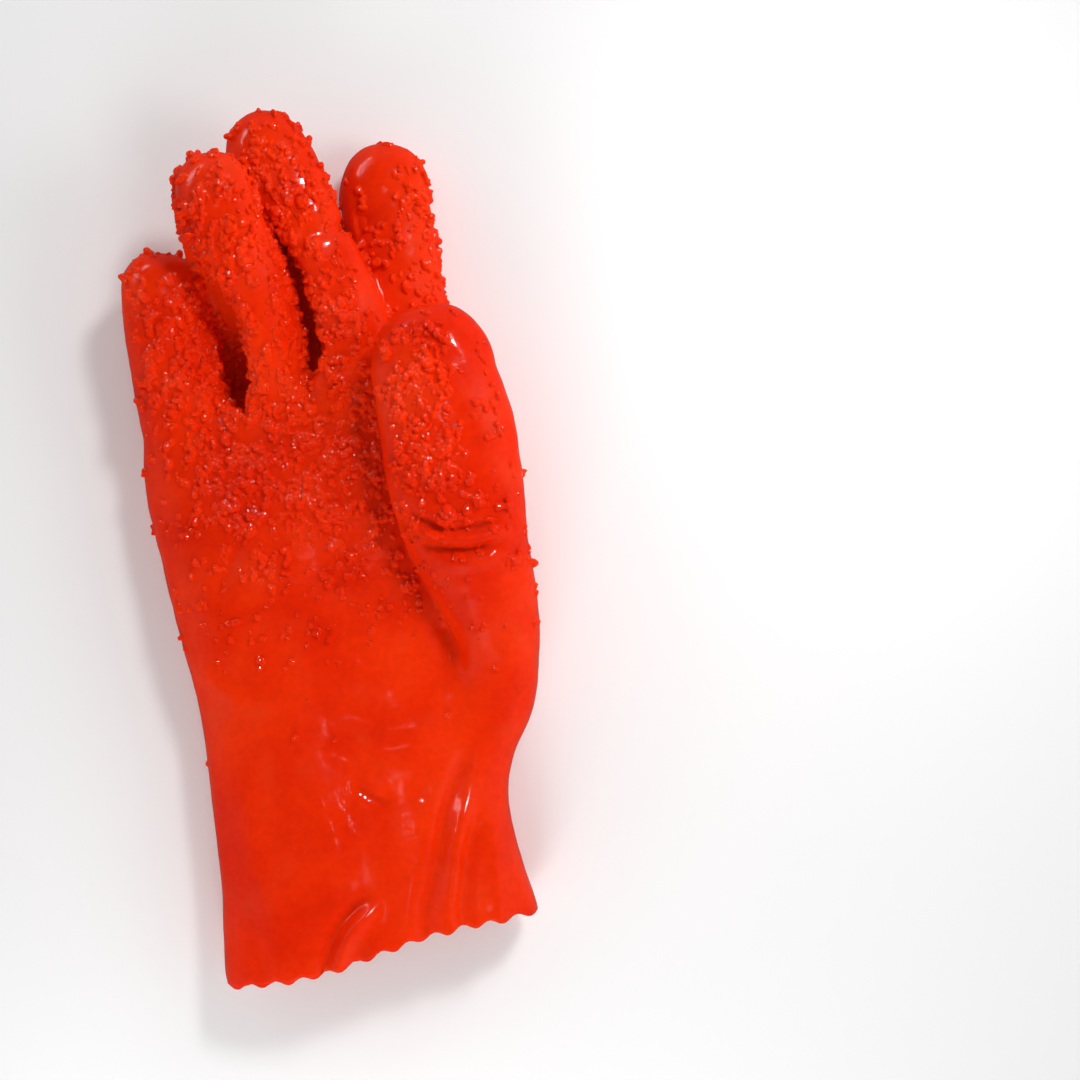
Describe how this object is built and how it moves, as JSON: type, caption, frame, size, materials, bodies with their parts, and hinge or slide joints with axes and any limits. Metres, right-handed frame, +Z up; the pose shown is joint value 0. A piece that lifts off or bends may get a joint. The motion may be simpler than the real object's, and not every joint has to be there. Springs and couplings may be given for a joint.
{
  "type": "non-slip glove",
  "caption": "Long PVC work glove with a rough gripping palm side, lying on its back with the thumb folded over the palm and a wavy open cuff.",
  "frame": {"origin": "centre of the bounds, at the height of the surface that the back of the glove lies on", "axes": "+Y from the cuff to the fingertips, +X to the side of the thumb and index finger, +Z up from the back of the glove through its palm side"},
  "size_m": [0.1289, 0.2937, 0.0598],
  "materials": {
    "pvc_orange": "glossy orange-red dipped PVC with a fine orange-peel skin, rough with fused crumbs of the same PVC on the palm side"
  },
  "bodies": {
    "root": {"glove_shell": "pvc_orange"}
  },
  "joints": []
}
